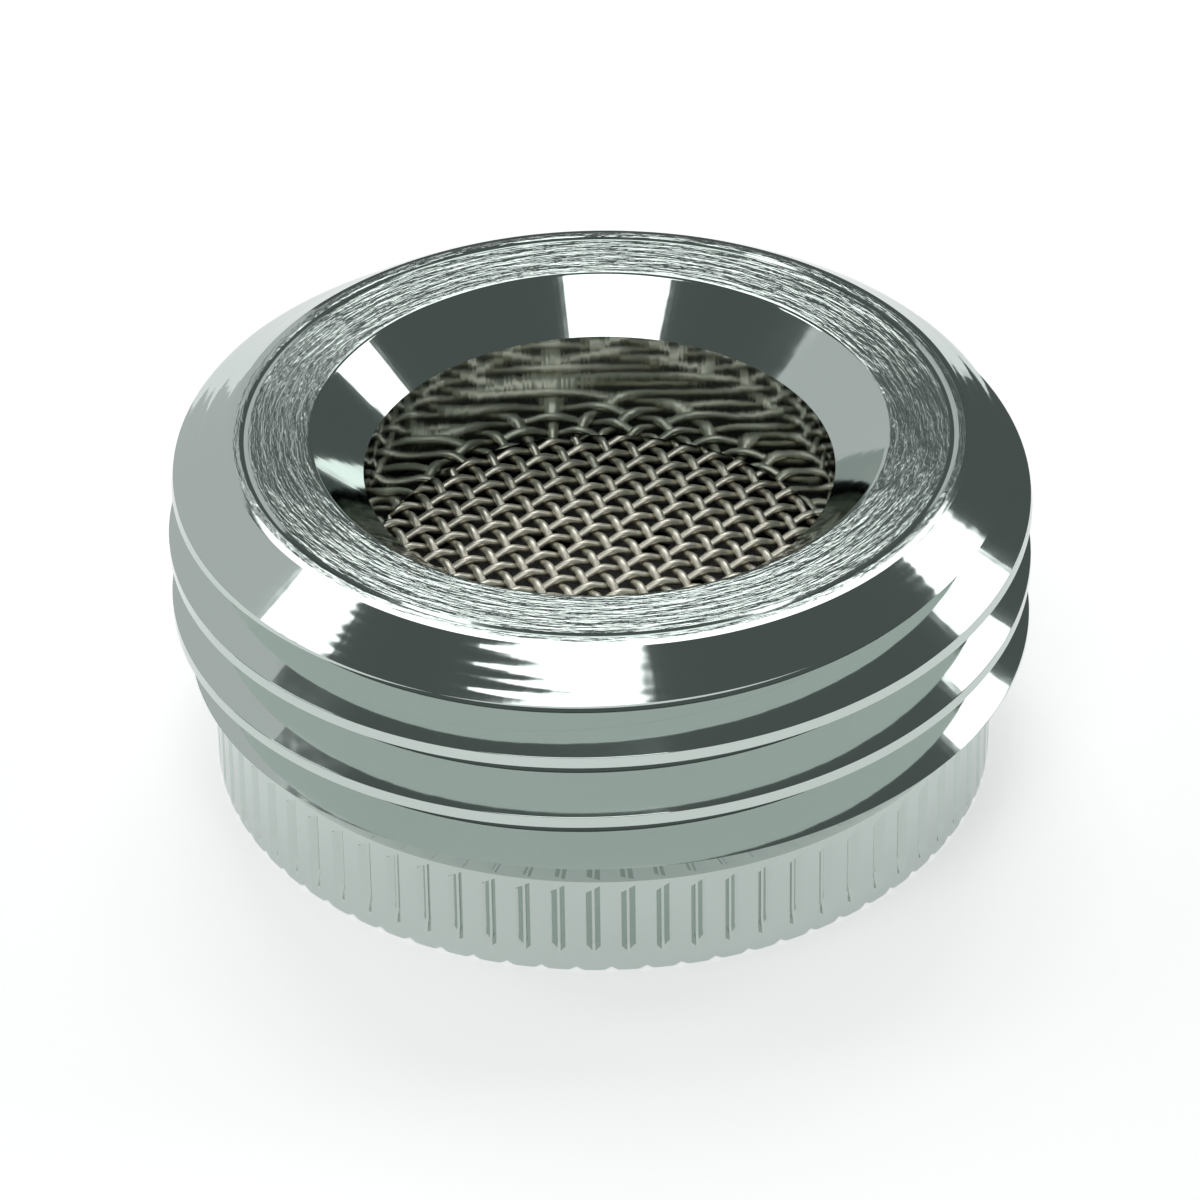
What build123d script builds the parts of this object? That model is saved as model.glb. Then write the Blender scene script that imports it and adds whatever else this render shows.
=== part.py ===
"""Hose aerator adapter, hose end up.

A chrome-plated turned body screws on to a tap by the female thread in its knurled end. The hose screws on to
the coarse male thread above. Inside, a rubber washer and a jet disc hold a wire screen under the outlet's ledge.

Millimetres, +Z up along the turning axis, origin at the centre of the base. The front of the body is at -Y.
"""
import os
from math import ceil, cos, degrees, radians, sin, tan

from build123d import *

# Male hose thread, with a slight taper in the last turn
HOSE_THREAD_OD = 26.9
HOSE_THREAD_PITCH = 25.4 / 11.5
HOSE_THREAD_DEPTH = 1.2
HOSE_THREAD_CREST = 0.5
THREAD_FLANK_ANGLE = 28.5
LOWEST_GROOVE_HEIGHT = 5.43
THREAD_TAPER_START = 9.2
THREAD_TAPER = 0.23

# Outside of the body, from the base up
COLLAR_D = 24.55
COLLAR_HEIGHT = 3.4
SHOULDER_HEIGHT = 1.5
BODY_HEIGHT = 11.65
TOP_CHAMFER_WIDTH = 1.72
TOP_CHAMFER_HEIGHT = 1.13
SEALING_EDGE_BREAK = 0.1

# Straight knurl round the collar: V grooves with a narrow flat bottom
KNURL_GROOVES = 72
KNURL_START_ANGLE = -91.84
KNURL_DEPTH = 0.18
KNURL_MOUTH = 0.46
KNURL_BOTTOM = 0.085
KNURL_TOP_BAND = 0.3
KNURL_RUN_OUT = 0.2

# Outlet, from the sealing face down to the ledge
OUTLET_BORE_D = 14.65
OUTLET_CHAMFER_WIDTH = 1.63
OUTLET_CHAMFER_HEIGHT = 1.42
LEDGE_HEIGHT = 6.45

# Inlet: plain wall at the minor diameter of the tap's fine thread
TAP_THREAD_MINOR_D = 20.8
TAP_LEAD_IN = 0.7
WASHER_RECESS_D = 21.9
SEAT_BORE_D = 20.7

# Pieces held under the ledge
SCREEN_THICKNESS = 0.45
SCREEN_WALL = 0.2
SCREEN_WIRE_PITCH = 1.46
SCREEN_WIRE_WIDTH = 0.46
SCREEN_WIRE_ANGLE = 45.0
SCREEN_OPEN_MARGIN = 0.3
DISC_RIM_HEIGHT = 1.3
DISC_RIM_WIDTH = 1.6
DISC_PLATE = 0.7
JET_HOLE_D = 1.3
INNER_JET_RING_R = 3.2
OUTER_JET_RING_R = 6.2
INNER_JET_COUNT = 6
OUTER_JET_COUNT = 12
WASHER_THICKNESS = 1.6
WASHER_HOLE_D = 14.4
WASHER_EDGE_BREAK = 0.2
SEAT_CLEARANCE = 0.1

# Heights and radii that follow from the sizes above
THREAD_R = HOSE_THREAD_OD / 2
COLLAR_R = COLLAR_D / 2
TAPERED_R = THREAD_R - THREAD_TAPER
FACE_R = TAPERED_R - TOP_CHAMFER_WIDTH
BORE_R = OUTLET_BORE_D / 2
SEAT_R = SEAT_BORE_D / 2
MINOR_R = TAP_THREAD_MINOR_D / 2
RECESS_R = WASHER_RECESS_D / 2
SCREEN_BOTTOM = LEDGE_HEIGHT - SCREEN_THICKNESS
DISC_BOTTOM = SCREEN_BOTTOM - DISC_RIM_HEIGHT
WASHER_BOTTOM = DISC_BOTTOM - WASHER_THICKNESS
INSERT_R = SEAT_R - SEAT_CLEARANCE


def turned(points, broken=(), edge_break=0.0):
    """Revolve a closed half section of (radius, height) points about Z, with some corners broken."""
    section = make_face(Polyline(*points, close=True))
    if broken:
        corners = [section.vertices().sort_by_distance((x, y, 0))[0] for x, y in broken]
        section = chamfer(corners, edge_break)
    return revolve(Plane.XZ * section, Axis.Z)


def knurled_prism(height):
    """Straight knurl: shallow grooves cut into a plain land all round the collar."""
    step = 360 / KNURL_GROOVES
    half_mouth = degrees(KNURL_MOUTH / 2 / COLLAR_R)
    half_bottom = degrees(KNURL_BOTTOM / 2 / COLLAR_R)
    bottom_r = COLLAR_R - KNURL_DEPTH
    outline = []
    for groove in range(KNURL_GROOVES):
        middle = KNURL_START_ANGLE + groove * step
        corners = [
            polar_point(COLLAR_R, middle - half_mouth),
            polar_point(bottom_r, middle - half_bottom),
            polar_point(bottom_r, middle + half_bottom),
            polar_point(COLLAR_R, middle + half_mouth),
        ]
        next_mouth = polar_point(COLLAR_R, middle + step - half_mouth)
        outline.append(Polyline(*corners))
        outline.append(ThreePointArc(corners[-1], polar_point(COLLAR_R, middle + step / 2), next_mouth))
    return extrude(make_face(outline), height)


def polar_point(radius, angle):
    """Point in the XY plane at a radius and an angle in degrees from +X."""
    return (radius * cos(radians(angle)), radius * sin(radians(angle)))


def hose_thread_grooves():
    """V grooves of the hose thread, as rings one pitch apart.

    They stand at the heights that the thread's turns have at the front. The rise along each turn is left out.
    """
    overcut = HOSE_THREAD_CREST / 2
    slope = tan(radians(THREAD_FLANK_ANGLE))
    mouth_half = (HOSE_THREAD_PITCH - HOSE_THREAD_CREST) / 2
    outer_half = mouth_half + overcut * slope
    root_half = mouth_half - HOSE_THREAD_DEPTH * slope
    root_r = THREAD_R - HOSE_THREAD_DEPTH
    groove = turned(
        [
            (THREAD_R + overcut, -outer_half),
            (root_r, -root_half),
            (root_r, root_half),
            (THREAD_R + overcut, outer_half),
        ]
    )
    threaded_height = BODY_HEIGHT - TOP_CHAMFER_HEIGHT - LOWEST_GROOVE_HEIGHT
    count = ceil(threaded_height / HOSE_THREAD_PITCH)
    return [Pos(0, 0, LOWEST_GROOVE_HEIGHT + turn * HOSE_THREAD_PITCH) * groove for turn in range(count)]


def body():
    """Turned body: knurled collar, shoulder, chamfered thread, sealing face, outlet and stepped inlet."""
    run_out_top = COLLAR_HEIGHT - KNURL_TOP_BAND
    run_out_bottom = run_out_top - 2 * KNURL_RUN_OUT
    shoulder_top = COLLAR_HEIGHT + SHOULDER_HEIGHT
    face_edge = (FACE_R, BODY_HEIGHT)
    mouth_edge = (BORE_R + OUTLET_CHAMFER_WIDTH, BODY_HEIGHT)
    outside = turned(
        [
            (0, run_out_bottom),
            (COLLAR_R - 2 * KNURL_DEPTH, run_out_bottom),
            (COLLAR_R, run_out_top),
            (COLLAR_R, COLLAR_HEIGHT),
            (THREAD_R, shoulder_top),
            (THREAD_R, THREAD_TAPER_START),
            (TAPERED_R, BODY_HEIGHT - TOP_CHAMFER_HEIGHT),
            face_edge,
            mouth_edge,
            (BORE_R, BODY_HEIGHT - OUTLET_CHAMFER_HEIGHT),
            (0, BODY_HEIGHT - OUTLET_CHAMFER_HEIGHT),
        ],
        broken=(face_edge, mouth_edge),
        edge_break=SEALING_EDGE_BREAK,
    )
    waterway = turned(
        [
            (0, 0),
            (MINOR_R + TAP_LEAD_IN, 0),
            (MINOR_R, TAP_LEAD_IN),
            (MINOR_R, WASHER_BOTTOM),
            (RECESS_R, WASHER_BOTTOM),
            (RECESS_R, DISC_BOTTOM),
            (SEAT_R, DISC_BOTTOM),
            (SEAT_R, LEDGE_HEIGHT),
            (BORE_R, LEDGE_HEIGHT),
            (BORE_R, BODY_HEIGHT),
            (0, BODY_HEIGHT),
        ]
    )
    return knurled_prism(run_out_top) + (outside - hose_thread_grooves()) - waterway


def outlet_screen():
    """Screen as one wall: square gaps between crossing wires, and a ridge along each wire.

    Wires one way stand proud of the upper face, and wires the other way of the lower one. The edge that the
    ledge covers is left whole.
    """
    open_r = BORE_R + SCREEN_OPEN_MARGIN
    reach = ceil(open_r / SCREEN_WIRE_PITCH)
    middle = (SCREEN_BOTTOM + LEDGE_HEIGHT) / 2
    gap = SCREEN_WIRE_PITCH - SCREEN_WIRE_WIDTH
    turned_grid = Location((0, 0, middle), (0, 0, SCREEN_WIRE_ANGLE))

    gaps = []
    half_cells = range(-reach, reach)
    corner_reach = open_r - gap / 2 * 2**0.5
    for column in half_cells:
        for row in half_cells:
            x = (column + 0.5) * SCREEN_WIRE_PITCH
            y = (row + 0.5) * SCREEN_WIRE_PITCH
            if (x * x + y * y) ** 0.5 < corner_reach:
                gaps.append(Pos(x, y) * Box(gap, gap, SCREEN_THICKNESS))

    ridge_height = (SCREEN_THICKNESS - SCREEN_WALL) / 2
    ridges = []
    for wire in range(-reach, reach + 1):
        offset = wire * SCREEN_WIRE_PITCH
        upper = (0, offset, SCREEN_WALL / 2 + ridge_height / 2)
        lower = (offset, 0, -SCREEN_WALL / 2 - ridge_height / 2)
        ridges.append(Pos(*upper) * Box(2 * open_r, SCREEN_WIRE_WIDTH, ridge_height))
        ridges.append(Pos(*lower) * Box(SCREEN_WIRE_WIDTH, 2 * open_r, ridge_height))

    web = Cylinder(open_r, SCREEN_WALL) + ridges
    web = (web & Cylinder(open_r, SCREEN_THICKNESS)) - gaps
    edge = Cylinder(INSERT_R, SCREEN_THICKNESS) - Cylinder(open_r, SCREEN_THICKNESS)
    return edge.moved(Location((0, 0, middle))) + turned_grid * web


def jet_disc():
    """Jet disc: thin plate with rings of holes, in a rim that stands up to the screen's edge."""
    rim_inner_r = INSERT_R - DISC_RIM_WIDTH
    plate_top = DISC_BOTTOM + DISC_PLATE
    dish = turned(
        [
            (0, DISC_BOTTOM),
            (INSERT_R, DISC_BOTTOM),
            (INSERT_R, SCREEN_BOTTOM),
            (rim_inner_r, SCREEN_BOTTOM),
            (rim_inner_r, plate_top),
            (0, plate_top),
        ]
    )
    drill = Cylinder(JET_HOLE_D / 2, 3 * DISC_PLATE)
    jet_rings = ((INNER_JET_RING_R, INNER_JET_COUNT), (OUTER_JET_RING_R, OUTER_JET_COUNT))
    for ring_r, count in jet_rings:
        dish -= [Pos(0, 0, DISC_BOTTOM) * place * drill for place in PolarLocations(ring_r, count)]
    return dish


def inlet_washer():
    """Flat rubber ring with broken edges, in the recess behind the tap's thread."""
    inner_r = WASHER_HOLE_D / 2
    outer_r = RECESS_R - SEAT_CLEARANCE
    corners = [
        (inner_r, WASHER_BOTTOM),
        (outer_r, WASHER_BOTTOM),
        (outer_r, DISC_BOTTOM),
        (inner_r, DISC_BOTTOM),
    ]
    return turned(corners, broken=corners, edge_break=WASHER_EDGE_BREAK)


NODES = {
    "body": body,
    "outlet_screen": outlet_screen,
    "jet_disc": jet_disc,
    "inlet_washer": inlet_washer,
}

os.makedirs("parts", exist_ok=True)
for node, make in NODES.items():
    export_step(make(), f"parts/{node}.step")
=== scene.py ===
"""Looks of a hose aerator adapter: turned chrome body, woven screen, jet disc, washer and stage.

Metres, +Z up along the turning axis, origin at the centre of the base. Angles round the axis are counted from
the front, -Y, towards +X.
"""
import math

import bpy
import numpy as np
from bpy.props import FloatProperty, FloatVectorProperty, IntProperty, PointerProperty
from mathutils import Matrix, Quaternion, Vector


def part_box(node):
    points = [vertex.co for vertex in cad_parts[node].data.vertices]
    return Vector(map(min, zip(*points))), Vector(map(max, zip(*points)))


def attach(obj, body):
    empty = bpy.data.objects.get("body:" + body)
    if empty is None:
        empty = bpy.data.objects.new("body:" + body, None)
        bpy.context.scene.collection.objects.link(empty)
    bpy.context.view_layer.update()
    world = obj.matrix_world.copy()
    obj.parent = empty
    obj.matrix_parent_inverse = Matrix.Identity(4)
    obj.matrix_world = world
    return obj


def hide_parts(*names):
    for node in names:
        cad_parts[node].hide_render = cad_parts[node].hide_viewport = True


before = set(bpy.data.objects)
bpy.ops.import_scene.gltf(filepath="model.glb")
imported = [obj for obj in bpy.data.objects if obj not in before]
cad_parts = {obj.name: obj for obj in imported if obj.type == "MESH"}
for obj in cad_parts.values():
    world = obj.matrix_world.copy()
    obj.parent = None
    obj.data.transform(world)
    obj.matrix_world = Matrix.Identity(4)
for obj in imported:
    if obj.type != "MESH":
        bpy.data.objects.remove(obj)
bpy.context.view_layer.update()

bl_info = {
    "name": "Hose aerator adapter",
    "version": (1, 0, 0),
    "blender": (4, 5, 0),
    "location": "3D View > Sidebar > Adapter",
    "description": "Dresses the turned adapter: threads, knurl, woven screen, finishes and stage",
    "category": "Object",
}

MM = 0.001
BODY_LOW, BODY_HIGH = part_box("body")
SCREEN_LOW, SCREEN_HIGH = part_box("outlet_screen")


def length(name, description, millimetres):
    """Size property in metres, with its default written in millimetres."""
    return FloatProperty(
        name=name, description=description, default=millimetres * MM, unit="LENGTH", precision=5
    )


def linear(hex_code):
    """Linear RGB of an sRGB hex colour."""
    channels = np.array([int(hex_code[i:i + 2], 16) for i in (1, 3, 5)]) / 255
    return tuple(np.where(channels <= 0.04045, channels / 12.92, ((channels + 0.055) / 1.055) ** 2.4))


def degree_angle(name, description, degrees):
    """Angle property in radians, with its default written in degrees."""
    return FloatProperty(
        name=name, description=description, default=math.radians(degrees), subtype="ANGLE"
    )


def colour(name, description, hex_code):
    """Colour property with its default written as sRGB hex."""
    return FloatVectorProperty(
        name=name, description=description, default=linear(hex_code), subtype="COLOR", size=3, min=0, max=1
    )


class BodySizes(bpy.types.PropertyGroup):
    """Sizes of the turned body that the scene adds to or repeats from the solid."""

    thread_pitch: length("Hose thread pitch", "Rise of the male thread in one turn", 25.4 / 11.5)
    thread_depth: length("Hose thread depth", "Crest radius less root radius", 1.37)
    thread_crest: length("Hose thread crest", "Width of the flat on each crest", 0.38)
    thread_flank: degree_angle("Flank angle", "Half of the thread's angle", 28.5)
    thread_edge: length("Crest edge", "Radius between a crest and its flanks", 0.04)
    thread_root: length("Root fillet", "Radius between a flank and the root", 0.28)
    groove_height: length("Groove height", "Height of a groove's centre at the front", 7.659)
    run_out: length("Run-out", "Plain foot of the shoulder, below the lowest flank", 0.5)
    taper: length("Thread taper", "Loss of crest radius up to the top chamfer", 0.23)
    taper_start: length("Taper start", "Height at which the crests begin to taper", 9.2)
    collar_d: length("Collar diameter", "Over the knurl", 24.55)
    collar_height: length("Collar height", "Base to the foot of the shoulder", 3.4)
    shoulder_height: length("Shoulder height", "Height of the cone under the thread", 1.5)
    chamfer_width: length("Top chamfer width", "Radial width of the cone above the thread", 1.72)
    chamfer_height: length("Top chamfer height", "Height of the cone above the thread", 1.13)
    knurl_count: IntProperty(name="Knurl grooves", description="Grooves round the collar", default=72, min=12)
    knurl_depth: length("Knurl depth", "Depth of each groove", 0.2)
    knurl_top: length("Knurl top", "Height of the grooves' slanted upper ends", 3.1)
    bore_d: length("Outlet bore", "Bore above the ledge", 14.65)
    mouth_width: length("Outlet chamfer width", "Radial width of the outlet's chamfer", 1.63)
    mouth_height: length("Outlet chamfer height", "Height of the outlet's chamfer", 1.42)
    seat_d: length("Seat bore", "Bore that holds the screen and disc", 20.7)
    recess_d: length("Washer recess", "Bore that holds the washer", 21.9)
    tap_minor_d: length("Tap thread minor diameter", "Crests of the female thread", 20.8)
    tap_pitch: length("Tap thread pitch", "Rise of the female thread in one turn", 25.4 / 27)
    tap_depth: length("Tap thread depth", "Depth of the female thread's grooves", 0.5)
    lead_in: length("Lead-in", "Chamfer at the mouth of the female thread", 0.7)


class ScreenSizes(bpy.types.PropertyGroup):
    """Sizes of the woven wire screen."""

    wire_d: length("Wire diameter", "Round wire", 0.22)
    pitch: length("Wire pitch", "Centre to centre of neighbouring wires", 0.72)
    angle: degree_angle("Wire angle", "Turn of the weave about the axis", 23)


class Finishes(bpy.types.PropertyGroup):
    """Colours of the materials."""

    chrome: colour("Chrome", "Reflectance of the plated body", "#C1CAC6")
    wire: colour("Wire", "Reflectance of the steel wire", "#F2EDDE")
    acetal: colour("Acetal", "Jet disc", "#1E201F")
    rubber: colour("Rubber", "Inlet washer", "#161716")
    floor: colour("Floor", "Plain pale floor", "#F7F7F7")
    surround: colour("Surround", "Dim room that the chrome mirrors", "#5D6361")


class StageSizes(bpy.types.PropertyGroup):
    """Camera of the photograph's view."""

    elevation: degree_angle("Elevation", "Camera above the horizon", 35.18)
    roll: degree_angle("Roll", "Turn about the line of sight", -0.864)
    distance: length("Distance", "Camera to the point it looks at", 206.7)
    target_height: length("Target height", "Height of the point it looks at", 6.0)
    lens: FloatProperty(name="Lens", description="Focal length in millimetres", default=197.4, min=1)
    shift_x: FloatProperty(name="Shift X", description="Share of the frame's width", default=-1.1 / 1200)
    shift_y: FloatProperty(name="Shift Y", description="Share of the frame's width", default=-23.1 / 1200)


def closed_mesh(name, points, faces):
    """Mesh of points and quads with coincident points merged.

    Points are matched to a hundredth of a micrometre. A quad that has lost a side becomes a triangle, and one
    that has lost two is left out.
    """
    keys = np.rint(points * 1e8).astype(np.int64)
    _, first, index = np.unique(keys, axis=0, return_index=True, return_inverse=True)
    corners = index.reshape(-1)[faces]
    kept = corners != np.roll(corners, 1, axis=1)
    sides = kept.sum(axis=1)
    three = sides == 3
    mesh = bpy.data.meshes.new(name)
    triangles = corners[three][kept[three]].reshape(-1, 3)
    mesh.from_pydata(points[first], [], corners[sides == 4].tolist() + triangles.tolist())
    mesh.validate()
    return mesh


def grid_faces(rows, columns):
    """Quads of a grid of points, both ways closed by the grid's own repeated ends."""
    row, column = np.meshgrid(np.arange(rows - 1), np.arange(columns - 1), indexing="ij")
    corner = (row * columns + column).ravel()
    return np.stack([corner, corner + 1, corner + columns + 1, corner + columns], axis=1)


def lean_normals(mesh, limit):
    """Smooth corner normals that lean to the larger faces.

    A corner's normal is the mean of the faces round its point that lie within a limit of the corner's own
    face, each weighted by the square of its area. So a wide face stays plane up to a narrow rounded edge.
    """
    normal = np.empty((len(mesh.polygons), 3))
    area = np.empty(len(mesh.polygons))
    sides = np.empty(len(mesh.polygons), int)
    point = np.empty(len(mesh.loops), int)
    mesh.polygons.foreach_get("normal", normal.ravel())
    mesh.polygons.foreach_get("area", area)
    mesh.polygons.foreach_get("loop_total", sides)
    mesh.loops.foreach_get("vertex_index", point)
    face = np.repeat(np.arange(len(sides)), sides)
    order = np.argsort(point, kind="stable")
    first = np.searchsorted(point[order], np.arange(len(mesh.vertices)))
    rank = np.arange(len(point)) - first[point[order]]
    table = np.full((len(mesh.vertices), rank.max() + 1), -1)
    table[point[order], rank] = face[order]
    near = table[point]
    alike = np.einsum("cfx,cx->cf", normal[near], normal[face]) > math.cos(limit)
    weight = np.where((near >= 0) & alike, (area[near] / area.max()) ** 2, 0)
    lean = np.einsum("cf,cfx->cx", weight, normal[near]) + 1e-20 * normal[face]
    mesh.shade_smooth()
    mesh.normals_split_custom_set(lean / np.linalg.norm(lean, axis=1, keepdims=True))


def place(name, mesh, material, node):
    """Object for a mesh that stands for a solid of the frame."""
    piece = bpy.data.objects.new(name, mesh)
    bpy.context.scene.collection.objects.link(piece)
    mesh.materials.append(material)
    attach(piece, "root")
    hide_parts(node)


def crossing(gap, step):
    """Share of a step at which it has closed a gap, or 0 where that lies outside the step."""
    share = np.divide(gap, step, out=np.zeros_like(gap), where=step != 0)
    return np.where((share > 0) & (share < 1), share, 0)


def helix_rows(angle, pitch, heights, radii, envelope, limit):
    """Rows of a helical thread held within a turned envelope.

    The thread's outline is a chain of (height, radius) corners that rises by one pitch a turn, so that at an
    angle a its heights are h + pitch * a / 2 pi. The envelope is a chain of (radius, height) corners. Each
    piece of the thread also has a point where it crosses a piece of the envelope or passes the height of a
    corner of it. A point that is missing at some angle falls on the one before it, so that each row keeps its
    place. What lies beyond the envelope is drawn back to it by limit: the smaller radius outside, the larger
    inside.
    """
    start_z = heights[:-1, None] + pitch * angle / (2 * np.pi)
    step_z = np.broadcast_to(np.diff(heights)[:, None], start_z.shape)
    start_r = np.broadcast_to(radii[:-1, None], start_z.shape)
    step_r = np.broadcast_to(np.diff(radii)[:, None], start_z.shape)
    shares = [np.zeros_like(start_z)]
    for (r0, z0), (r1, z1) in zip(envelope, envelope[1:]):
        slope = (r1 - r0) / (z1 - z0)
        share = crossing(r0 + slope * (start_z - z0) - start_r, step_r - slope * step_z)
        height = start_z + share * step_z
        shares.append(np.where((height > z0) & (height < z1), share, 0))
        shares.append(crossing(z1 - start_z, step_z))
    share = np.maximum.accumulate(np.stack(shares, axis=1), axis=1)
    free_z = start_z[:, None] + share * step_z[:, None]
    free_r = start_r[:, None] + share * step_r[:, None]
    bound_r, bound_z = np.transpose(envelope)
    z = np.clip(free_z, bound_z[0], bound_z[-1])
    bound = np.interp(z, bound_z, bound_r)
    r = np.where(z == free_z, limit(free_r, bound), bound)
    return r.reshape(-1, len(angle)), z.reshape(-1, len(angle))


def thread_chain(pitch, crest, depth, flank, centre, turns, edge=0.0, fillet=0.0):
    """Corners of a thread as heights and depths below the crest, over turns about a groove's centre.

    Half a groove runs from its mouth to its root. An arc of radius edge turns from the crest to the flank,
    and one of radius fillet from the flank to the root. Each turns by a right angle less the flank's, and
    ends at its tangents.
    """
    whole = np.pi / 2 - flank
    tangent = math.tan(whole / 2)
    bent = np.linspace(0, whole, 4)
    hollow = np.linspace(whole, 0, 6)
    mouth = (pitch - crest) / 2
    root = mouth - depth * math.tan(flank)
    edge_z = -mouth + edge * (np.sin(bent) - tangent)
    edge_d = edge * (1 - np.cos(bent))
    fillet_z = -root - fillet * (np.sin(hollow) - tangent)
    fillet_d = depth - fillet * (1 - np.cos(hollow))
    half_z = np.concatenate([edge_z, fillet_z])
    half_d = np.concatenate([edge_d, fillet_d])
    groove_z = np.concatenate([half_z, -half_z[::-1]])
    groove_d = np.concatenate([half_d, half_d[::-1]])
    heights = centre + (np.arange(-turns, turns + 1)[:, None] * pitch + groove_z).ravel()
    return heights, np.tile(groove_d, 2 * turns + 1)


# Knurl columns, as shares of one groove's pitch: mouth edge, flank and bottom of the groove, then land
GROOVE_EDGE, GROOVE_FLANK, GROOVE_BOTTOM = 0.235, 0.2, 0.04
LAND_STATIONS = (0.32, 0.5, 0.68)
KNURL_PHASE = math.radians(-1.84)


def knurl_columns(count):
    """Angles of the body's columns, and each column's place within its groove's pitch."""
    half = np.array([GROOVE_BOTTOM, GROOVE_FLANK, GROOVE_EDGE])
    stations = np.concatenate([-half[::-1], half, LAND_STATIONS])
    turns = np.arange(count)[:, None] - count // 2 + stations
    share = np.tile(stations, count)
    angle = KNURL_PHASE + turns.ravel() * 2 * np.pi / count
    return np.append(angle, angle[0] + 2 * np.pi), np.append(share, share[0])


def knurl_rows(sizes, share):
    """Rows of the knurled collar from the base to its plain upper band.

    A groove is a V with a narrow flat bottom: its depth falls from 1 at the bottom to 0 at its mouth. Towards
    the base its floor ramps out, so that the V narrows to a point. The rolled metal stands down in a lip
    under each groove, and the edge is notched between two lips. The upper end of each groove is slanted.
    """
    radius = sizes.collar_d / 2
    across = np.abs(share - np.rint(share))
    mouth = (GROOVE_EDGE + GROOVE_FLANK) / 2
    shape = np.clip((mouth - across) / (mouth - GROOVE_BOTTOM), 0, 1)
    lip_notch, lip_round = 0.13 * MM, 0.04 * MM
    notch_half = 0.2
    edge = lip_notch * np.clip(1 - (0.5 - across) / notch_half, 0, 1)
    rows = [(radius - lip_round, edge), (radius - 0.3 * lip_round, edge + 0.3 * lip_round)]
    rows.append((radius, edge + lip_round))
    ramp_low, ramp_high = 0.18 * MM, 1.0 * MM
    for height in np.linspace(ramp_low, ramp_high, 6):
        floor = sizes.knurl_depth * (height - ramp_low) / (ramp_high - ramp_low)
        rows.append((radius - np.clip(sizes.knurl_depth * (shape - 1) + floor, 0, None), height))
    slant = 0.15 * MM * np.interp(share, [-GROOVE_EDGE, GROOVE_EDGE, 1 - GROOVE_EDGE], [-1, 1, -1])
    end_step = 0.02 * MM
    rows.append((radius - sizes.knurl_depth * shape, sizes.knurl_top + slant - end_step))
    rows.append((radius, sizes.knurl_top + slant + end_step))
    return rows


# Sealing face's rim and the fine groove that bounds it: width, then section as inset and drop in millimetres
RIM_WIDTH = 0.66 * MM
RIM_SECTION = ((0.12, 0.03), (0.24, 0.01), (0.38, 0), (0.52, 0.06))

# Turns of a thread's chain on each side of its middle groove, past both ends of its envelope
TURNS = 3


def body_surface(sizes):
    """Points of the whole turned body: one closed section carried round the axis.

    The section runs from the base out and up the knurl, over the thread between its two cones, across the
    sealing face, down the outlet to its ledge, and down the seats and the female thread to the base again.
    """
    angle, share = knurl_columns(sizes.knurl_count)
    top = BODY_HIGH.z
    crest_r = BODY_HIGH.x
    collar_r = sizes.collar_d / 2
    bore_r = sizes.bore_d / 2
    mouth_r = bore_r + sizes.mouth_width
    tap_r = sizes.tap_minor_d / 2
    recess_r = sizes.recess_d / 2
    ledge = SCREEN_HIGH.z
    washer_low, washer_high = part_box("inlet_washer")

    face_r = crest_r - sizes.taper - sizes.chamfer_width
    rim_out, rim_drop = 0.02 * MM, 0.06 * MM
    outside = (
        (collar_r, sizes.collar_height),
        (crest_r, sizes.collar_height + sizes.shoulder_height),
        (crest_r, sizes.taper_start),
        (crest_r - sizes.taper, top - sizes.chamfer_height),
        (face_r + rim_out, top - rim_drop),
    )
    heights, depths = thread_chain(
        sizes.thread_pitch,
        sizes.thread_crest,
        sizes.thread_depth,
        sizes.thread_flank,
        sizes.groove_height,
        TURNS,
        sizes.thread_edge,
        sizes.thread_root,
    )
    thread_r, thread_z = helix_rows(angle, sizes.thread_pitch, heights, crest_r - depths, outside, np.minimum)
    bound_r, bound_z = np.transpose(outside)
    foot_z = np.minimum(thread_z, sizes.collar_height + sizes.run_out)
    foot_r = np.interp(foot_z, bound_z, bound_r) - (thread_z - foot_z) / math.tan(sizes.thread_flank)
    thread_r = np.maximum(thread_r, foot_r)

    inside = (
        (tap_r + sizes.lead_in, BODY_LOW.z),
        (tap_r, BODY_LOW.z + sizes.lead_in),
        (tap_r, washer_low.z - 0.02 * MM),
        (recess_r, washer_low.z),
    )
    tap_crest = sizes.tap_pitch / 8
    tap_flank = math.radians(30)
    heights, depths = thread_chain(
        sizes.tap_pitch, tap_crest, sizes.tap_depth, tap_flank, washer_low.z / 2, TURNS
    )
    tap_thread = helix_rows(angle, sizes.tap_pitch, heights, tap_r + depths, inside, np.maximum)

    face_z = top - 0.01 * MM
    mouth_round = 0.3 * MM
    fall = np.linspace(0, math.atan2(sizes.mouth_height, sizes.mouth_width), 6)
    mouth_edge = zip(
        mouth_r + mouth_round * (np.tan(fall[-1] / 2) - np.sin(fall)),
        face_z - mouth_round * (1 - np.cos(fall)),
    )

    base_edge = 0.4 * MM
    rows = [(tap_r + sizes.lead_in, BODY_LOW.z), (collar_r - base_edge, BODY_LOW.z)]
    rows += knurl_rows(sizes, share)
    rows += list(zip(thread_r, thread_z))
    rows += [(face_r - inset * MM, top - drop * MM) for inset, drop in RIM_SECTION]
    rows += [
        (face_r - RIM_WIDTH, face_z),
        *mouth_edge,
        (bore_r, top - sizes.mouth_height),
        (bore_r, ledge),
        (sizes.seat_d / 2, ledge),
        (sizes.seat_d / 2, washer_high.z),
        (recess_r, washer_high.z),
    ]
    rows += list(zip(*tap_thread))[::-1]
    r = np.stack([np.broadcast_to(row[0], angle.shape) for row in rows])
    z = np.stack([np.broadcast_to(row[1], angle.shape) for row in rows])
    return np.stack([r * np.sin(angle), -r * np.cos(angle), z], axis=-1)


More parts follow.
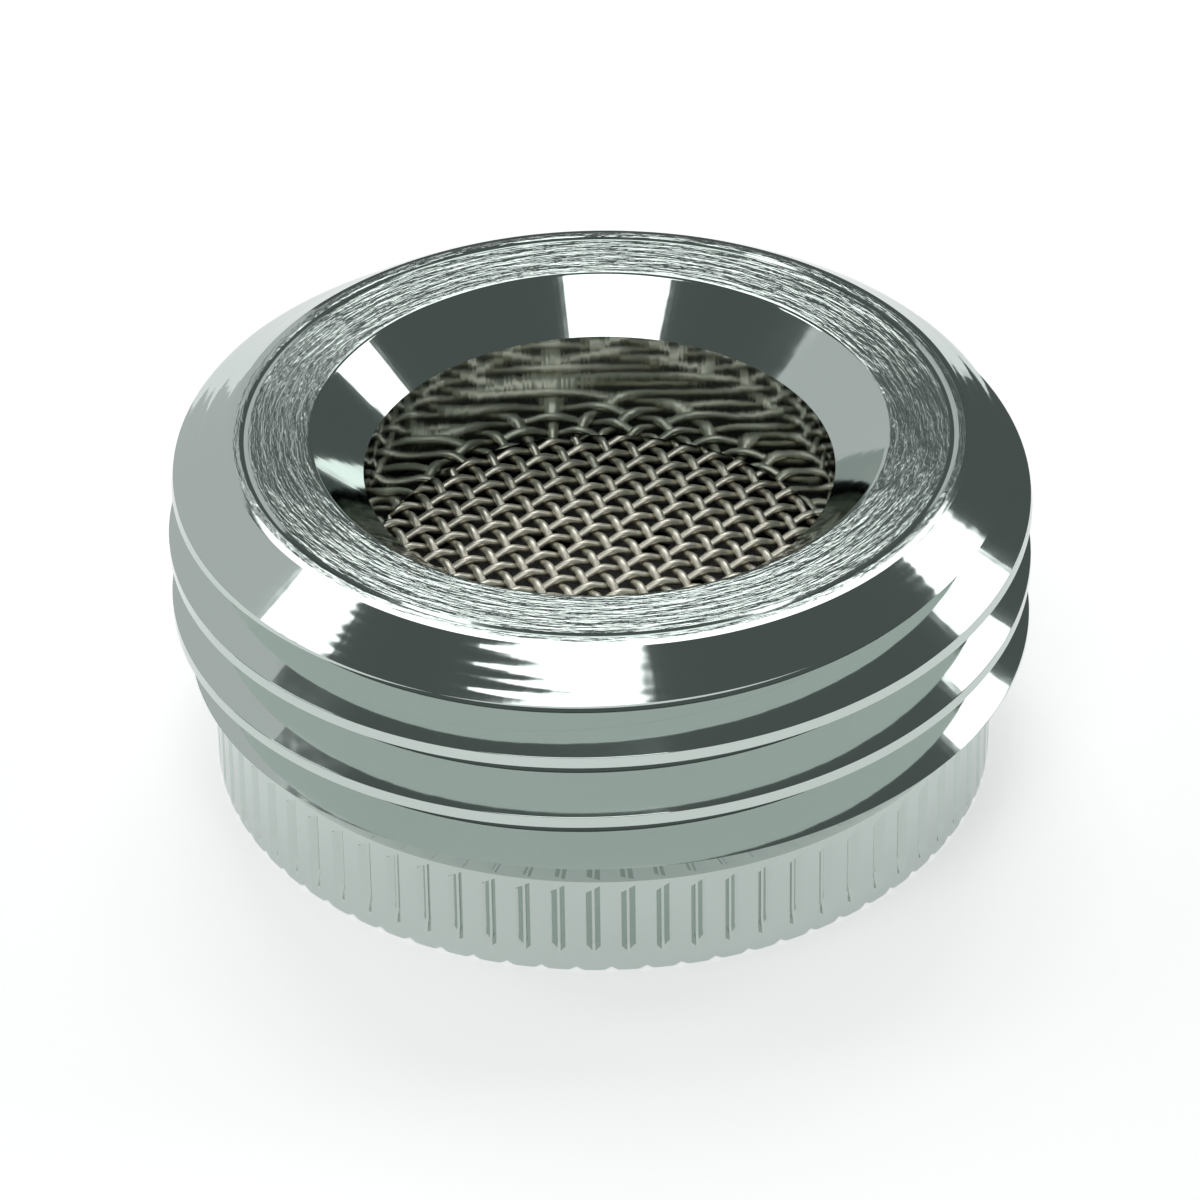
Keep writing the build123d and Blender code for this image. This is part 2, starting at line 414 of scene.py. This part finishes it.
def wire_family(sizes, radius, across, phase):
    """Points of the parallel wires of a weave, before they are turned to their angle.

    A wire's centre line is a wave: height = amplitude * cos(pi * run / pitch), turned over from one wire to
    the next. Its section is an ellipse square to that line, rolled wider than high and closed to a point at
    both ends. Each wire ends on the screen's edge.
    """
    flat_wire = 1.35
    stations, sides = 169, 8
    wire_r = sizes.wire_d / 2
    reach = int(radius / sizes.pitch)
    number = np.arange(-reach, reach + 1)
    offset = number * sizes.pitch
    half = np.sqrt(radius**2 - offset**2)
    run = np.pad(np.linspace(-1, 1, stations), 1, mode="edge") * half[:, None]
    full = np.pad(np.ones(stations), 1)
    wave = np.pi / sizes.pitch
    sign = np.where(number % 2 == phase, 1, -1)[:, None]
    height = sign * wire_r * np.cos(wave * run)
    tilt = np.arctan(-sign * wire_r * wave * np.sin(wave * run))
    turn = np.linspace(0, 2 * np.pi, sides + 1)[:, None]
    side = flat_wire * wire_r * np.cos(turn) * full
    lift = wire_r * np.sin(turn) * full
    along = run[:, None] - lift * np.sin(tilt)[:, None]
    up = height[:, None] + lift * np.cos(tilt)[:, None]
    beside = np.broadcast_to(offset[:, None, None] + side, along.shape)
    if across:
        return np.stack([beside, along, up], axis=-1)[:, ::-1]
    return np.stack([along, beside, up], axis=-1)


def add(tree, kind, inputs, **settings):
    """Node of a kind with its settings, and with each named input set to a value or linked to a socket."""
    node = tree.nodes.new(kind)
    for name, value in settings.items():
        setattr(node, name, value)
    for socket, value in inputs.items():
        if isinstance(value, bpy.types.NodeSocket):
            tree.links.new(value, node.inputs[socket])
        else:
            node.inputs[socket].default_value = value
    return node


def new_material(name):
    """Empty node material and its output node."""
    material = bpy.data.materials.new(name)
    material.use_nodes = True
    tree = material.node_tree
    tree.nodes.clear()
    return material, tree, tree.nodes.new("ShaderNodeOutputMaterial")


def turned_lines(tree, radius, around, per_mm, per_radian, detail):
    """Noise drawn out round the axis: so many cells to a millimetre of radius, and to a radian of turn."""
    ring = add(tree, "ShaderNodeMath", {0: radius, 1: per_mm / MM}, operation="MULTIPLY")
    across = add(tree, "ShaderNodeCombineXYZ", {"Z": ring.outputs[0]})
    inputs = {0: around, 1: (per_radian,) * 3, 2: across.outputs[0]}
    cell = add(tree, "ShaderNodeVectorMath", inputs, operation="MULTIPLY_ADD")
    inputs = {"Vector": cell.outputs[0], "Scale": 1.0, "Detail": detail, "Roughness": 0.6}
    return add(tree, "ShaderNodeTexNoise", inputs).outputs[0]


def reckon(tree, operation, *values):
    """Socket of a math node: an operation on values or sockets."""
    return add(tree, "ShaderNodeMath", dict(enumerate(values)), operation=operation).outputs[0]


def chrome_plate(finishes, rim_r):
    """Bright chrome over turned brass: a cool mirror with tool lines on the sealing face and the top cone."""
    material, tree, output = new_material("chrome_plated_turned_brass")
    point = add(tree, "ShaderNodeTexCoord", {}).outputs["Object"]
    flat = add(tree, "ShaderNodeVectorMath", {0: point, 1: (-1, 1, 0)}, operation="MULTIPLY").outputs[0]
    radius = add(tree, "ShaderNodeVectorMath", {0: flat}, operation="LENGTH").outputs["Value"]
    around = add(tree, "ShaderNodeVectorMath", {0: flat}, operation="NORMALIZE").outputs[0]
    height = add(tree, "ShaderNodeSeparateXYZ", {0: point}).outputs["Z"]
    on_face = reckon(tree, "GREATER_THAN", height, BODY_HIGH.z - 0.02 * MM)
    high = reckon(tree, "GREATER_THAN", height, BODY_HIGH.z - 1.3 * MM)
    outer = reckon(tree, "GREATER_THAN", radius, rim_r)
    on_cone = reckon(tree, "MULTIPLY", high, outer)

    # Relief in micrometres: soft ripple of the plate, faint lines on the top cone and deep ones on the face
    ripple = add(tree, "ShaderNodeTexNoise", {"Vector": point, "Scale": 1.2 / MM, "Detail": 1.0}).outputs[0]
    relief = reckon(tree, "MULTIPLY", ripple, 4.0)
    cone_lines = turned_lines(tree, radius, around, per_mm=4.3, per_radian=1.5, detail=0.0)
    face_lines = turned_lines(tree, radius, around, per_mm=5.0, per_radian=6.0, detail=3.0)
    for lines, share, depth in ((cone_lines, on_cone, 14.0), (face_lines, on_face, 60.0)):
        kept = reckon(tree, "MULTIPLY", lines, share)
        relief = reckon(tree, "MULTIPLY_ADD", kept, depth, relief)
    gloss = reckon(tree, "MULTIPLY_ADD", on_face, 0.08, 0.07)
    bump = add(tree, "ShaderNodeBump", {"Strength": 1.0, "Distance": 0.001 * MM, "Height": relief})
    shader = add(
        tree,
        "ShaderNodeBsdfPrincipled",
        {
            "Base Color": (*finishes.chrome, 1),
            "Metallic": 1.0,
            "Roughness": gloss,
            "Specular Tint": (0.95, 0.95, 0.95, 1),
            "Normal": bump.outputs[0],
        },
    )
    tree.links.new(shader.outputs[0], output.inputs[0])
    return material


def steel_wire(finishes):
    """Drawn stainless wire: a warm grey metal with a soft gloss."""
    material, tree, output = new_material("drawn_stainless_wire")
    inputs = {"Base Color": (*finishes.wire, 1), "Metallic": 1.0, "Roughness": 0.42}
    shader = add(tree, "ShaderNodeBsdfPrincipled", inputs)
    tree.links.new(shader.outputs[0], output.inputs[0])
    return material


def moulded_acetal(finishes):
    """Moulded acetal: nearly black plastic with a satin skin."""
    material, tree, output = new_material("moulded_acetal")
    shader = add(tree, "ShaderNodeBsdfPrincipled", {"Base Color": (*finishes.acetal, 1), "Roughness": 0.4})
    tree.links.new(shader.outputs[0], output.inputs[0])
    return material


def sheet_rubber(finishes):
    """Cut sheet rubber: black and matt."""
    material, tree, output = new_material("cut_sheet_rubber")
    shader = add(tree, "ShaderNodeBsdfPrincipled", {"Base Color": (*finishes.rubber, 1), "Roughness": 0.7})
    tree.links.new(shader.outputs[0], output.inputs[0])
    return material


def pale_floor(finishes):
    """Matt white card that takes the shadow, lifted to white for camera, mirror and clear rays.

    Within the ring of the part's base it isn't lifted, so that no white shows up through the jets: a painted
    shade under the part.
    """
    painted_shade_radius = 11.5 * MM
    material, tree, output = new_material("matt_white_card")
    path = add(tree, "ShaderNodeLightPath", {})
    seen = path.outputs["Is Camera Ray"]
    for name in ("Is Glossy Ray", "Is Transmission Ray"):
        seen = reckon(tree, "MAXIMUM", seen, path.outputs[name])
    point = add(tree, "ShaderNodeTexCoord", {}).outputs["Object"]
    radius = add(tree, "ShaderNodeVectorMath", {0: point}, operation="LENGTH").outputs["Value"]
    # Painted shade: inside the base ring the floor loses its lift and shows only the lamp-lit card
    clear = reckon(tree, "GREATER_THAN", radius, painted_shade_radius)
    seen = reckon(tree, "MULTIPLY", seen, clear)
    card = add(tree, "ShaderNodeBsdfDiffuse", {"Color": (*finishes.floor, 1)})
    glow = add(tree, "ShaderNodeEmission", {"Color": (*finishes.floor, 1), "Strength": 0.58})
    shown = add(tree, "ShaderNodeMixShader", {0: seen, 2: glow.outputs[0]})
    both = add(tree, "ShaderNodeAddShader", {0: card.outputs[0], 1: shown.outputs[0]})
    tree.links.new(both.outputs[0], output.inputs[0])
    return material


class ADAPTER_OT_body(bpy.types.Operator):
    """Make the turned body with its threads and knurl"""

    bl_idname = "adapter.body"
    bl_label = "Turn the body"

    def execute(self, context):
        sizes = context.scene.adapter_body
        points = body_surface(sizes)
        rows, columns = points.shape[:2]
        mesh = closed_mesh("chrome_body", points.reshape(-1, 3), grid_faces(rows, columns))
        smooth_limit = math.radians(14)
        lean_normals(mesh, smooth_limit)
        rim_r = BODY_HIGH.x - sizes.taper - sizes.chamfer_width - RIM_WIDTH
        material = chrome_plate(context.scene.adapter_finishes, rim_r)
        place("chrome_body", mesh, material, "body")
        return {"FINISHED"}


class ADAPTER_OT_screen(bpy.types.Operator):
    """Weave the wire screen under the outlet's ledge"""

    bl_idname = "adapter.screen"
    bl_label = "Weave the screen"

    def execute(self, context):
        sizes = context.scene.adapter_screen
        radius = SCREEN_HIGH.x - 0.05 * MM
        centre = SCREEN_HIGH.z - sizes.wire_d
        warp = wire_family(sizes, radius, across=False, phase=0)
        weft = wire_family(sizes, radius, across=True, phase=1)
        wires = np.concatenate([warp, weft])
        cos, sin = math.cos(sizes.angle), math.sin(sizes.angle)
        x, y, z = np.moveaxis(wires, -1, 0)
        points = np.stack([x * cos - y * sin, x * sin + y * cos, z + centre], axis=-1)
        count, rows, columns = points.shape[:3]
        one = grid_faces(rows, columns)[:, ::-1]
        faces = (one + np.arange(count)[:, None, None] * rows * columns).reshape(-1, 4)
        mesh = closed_mesh("wire_screen", points.reshape(-1, 3), faces)
        mesh.shade_smooth()
        material = steel_wire(context.scene.adapter_finishes)
        place("wire_screen", mesh, material, "outlet_screen")
        return {"FINISHED"}


class ADAPTER_OT_inserts(bpy.types.Operator):
    """Finish the jet disc and the washer"""

    bl_idname = "adapter.inserts"
    bl_label = "Finish the inserts"

    def execute(self, context):
        finishes = context.scene.adapter_finishes
        materials = {"jet_disc": moulded_acetal(finishes), "inlet_washer": sheet_rubber(finishes)}
        for node, material in materials.items():
            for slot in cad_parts[node].material_slots:
                slot.material = material
        return {"FINISHED"}


def soft_box(name, direction, width, depth, radiance, roll=0.0):
    """Rectangular lamp that faces the adapter from a metre away, with the radiance its mirror image shows."""
    lamp = bpy.data.lights.new(name, "AREA")
    lamp.shape = "RECTANGLE"
    lamp.size = width
    lamp.size_y = depth
    lamp.energy = radiance * math.pi * width * depth
    lamp_object = bpy.data.objects.new(name, lamp)
    bpy.context.scene.collection.objects.link(lamp_object)
    towards = Vector(direction).normalized()
    lamp_object.location = towards + Vector((0, 0, BODY_HIGH.z))
    lamp_object.rotation_mode = "QUATERNION"
    spin = Quaternion((0, 0, 1), math.radians(roll))
    lamp_object.rotation_quaternion = (-towards).to_track_quat("-Z", "Y") @ spin
    lamp_object.visible_camera = False


class ADAPTER_OT_stage(bpy.types.Operator):
    """Lay the floor, set the lamps and point the camera"""

    bl_idname = "adapter.stage"
    bl_label = "Set the stage"

    def execute(self, context):
        finishes = context.scene.adapter_finishes
        stage = context.scene.adapter_stage
        reach = 2.0
        mesh = bpy.data.meshes.new("floor")
        corners = [(-reach, -reach, 0), (reach, -reach, 0), (reach, reach, 0), (-reach, reach, 0)]
        mesh.from_pydata(corners, [], [(0, 1, 2, 3)])
        mesh.materials.append(pale_floor(finishes))
        floor = bpy.data.objects.new("floor", mesh)
        context.scene.collection.objects.link(floor)

        world = bpy.data.worlds.new("dim_room")
        world.use_nodes = True
        world.node_tree.nodes["Background"].inputs["Color"].default_value = (*finishes.surround, 1)
        context.scene.world = world

        # Lamps with their directions, widths and depths in metres, radiances and rolls in degrees
        bright, dim = 2.3, 0.55
        soft_box("front_lamp", (-0.1, -0.36, 1), 0.46, 0.42, bright, roll=25)
        soft_box("back_lamp", (0, 0.7, 1), 0.6, 0.52, bright)
        soft_box("left_lamp", (-0.652, 0.199, 0.731), 0.23, 0.18, bright, roll=49)
        soft_box("right_lamp", (0.701, 0.423, 0.574), 0.27, 0.36, bright, roll=-45)
        soft_box("left_card", (-0.676, 0.676, 0.292), 1.2, 1.0, dim, roll=14)

        camera = bpy.data.cameras.new("photo_camera")
        camera.sensor_width = 36
        camera.lens = stage.lens
        camera.shift_x = stage.shift_x
        camera.shift_y = stage.shift_y
        camera.clip_start = 0.01
        camera_object = bpy.data.objects.new("photo_camera", camera)
        context.scene.collection.objects.link(camera_object)
        back = Vector((0, -math.cos(stage.elevation), math.sin(stage.elevation)))
        turn = back.to_track_quat("Z", "Y").to_matrix().to_4x4() @ Matrix.Rotation(stage.roll, 4, "Z")
        eye = back * stage.distance + Vector((0, 0, stage.target_height))
        camera_object.matrix_world = Matrix.Translation(eye) @ turn
        context.scene.camera = camera_object
        context.scene.view_settings.view_transform = "Standard"
        return {"FINISHED"}


OPERATORS = (ADAPTER_OT_body, ADAPTER_OT_screen, ADAPTER_OT_inserts, ADAPTER_OT_stage)
SETTINGS = {
    "adapter_body": BodySizes,
    "adapter_screen": ScreenSizes,
    "adapter_finishes": Finishes,
    "adapter_stage": StageSizes,
}


class ADAPTER_PT_sidebar(bpy.types.Panel):
    """Sizes, colours and steps of the adapter"""

    bl_idname = "ADAPTER_PT_sidebar"
    bl_label = "Hose aerator adapter"
    bl_space_type = "VIEW_3D"
    bl_region_type = "UI"
    bl_category = "Adapter"

    def draw(self, context):
        for operator in OPERATORS:
            self.layout.operator(operator.bl_idname)
        for name, group in SETTINGS.items():
            box = self.layout.box()
            box.label(text=group.__name__)
            for prop in group.__annotations__:
                box.prop(getattr(context.scene, name), prop)


def register():
    for group in SETTINGS.values():
        bpy.utils.register_class(group)
    for name, group in SETTINGS.items():
        setattr(bpy.types.Scene, name, PointerProperty(type=group))
    for operator in OPERATORS:
        bpy.utils.register_class(operator)
    bpy.utils.register_class(ADAPTER_PT_sidebar)


def unregister():
    bpy.utils.unregister_class(ADAPTER_PT_sidebar)
    for operator in reversed(OPERATORS):
        bpy.utils.unregister_class(operator)
    for name, group in SETTINGS.items():
        delattr(bpy.types.Scene, name)
        bpy.utils.unregister_class(group)


def main():
    """Register the add-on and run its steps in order."""
    register()
    bpy.ops.adapter.body()
    bpy.ops.adapter.screen()
    bpy.ops.adapter.inserts()
    bpy.ops.adapter.stage()
    bpy.context.view_layer.update()


if __name__ == "__main__":
    main()
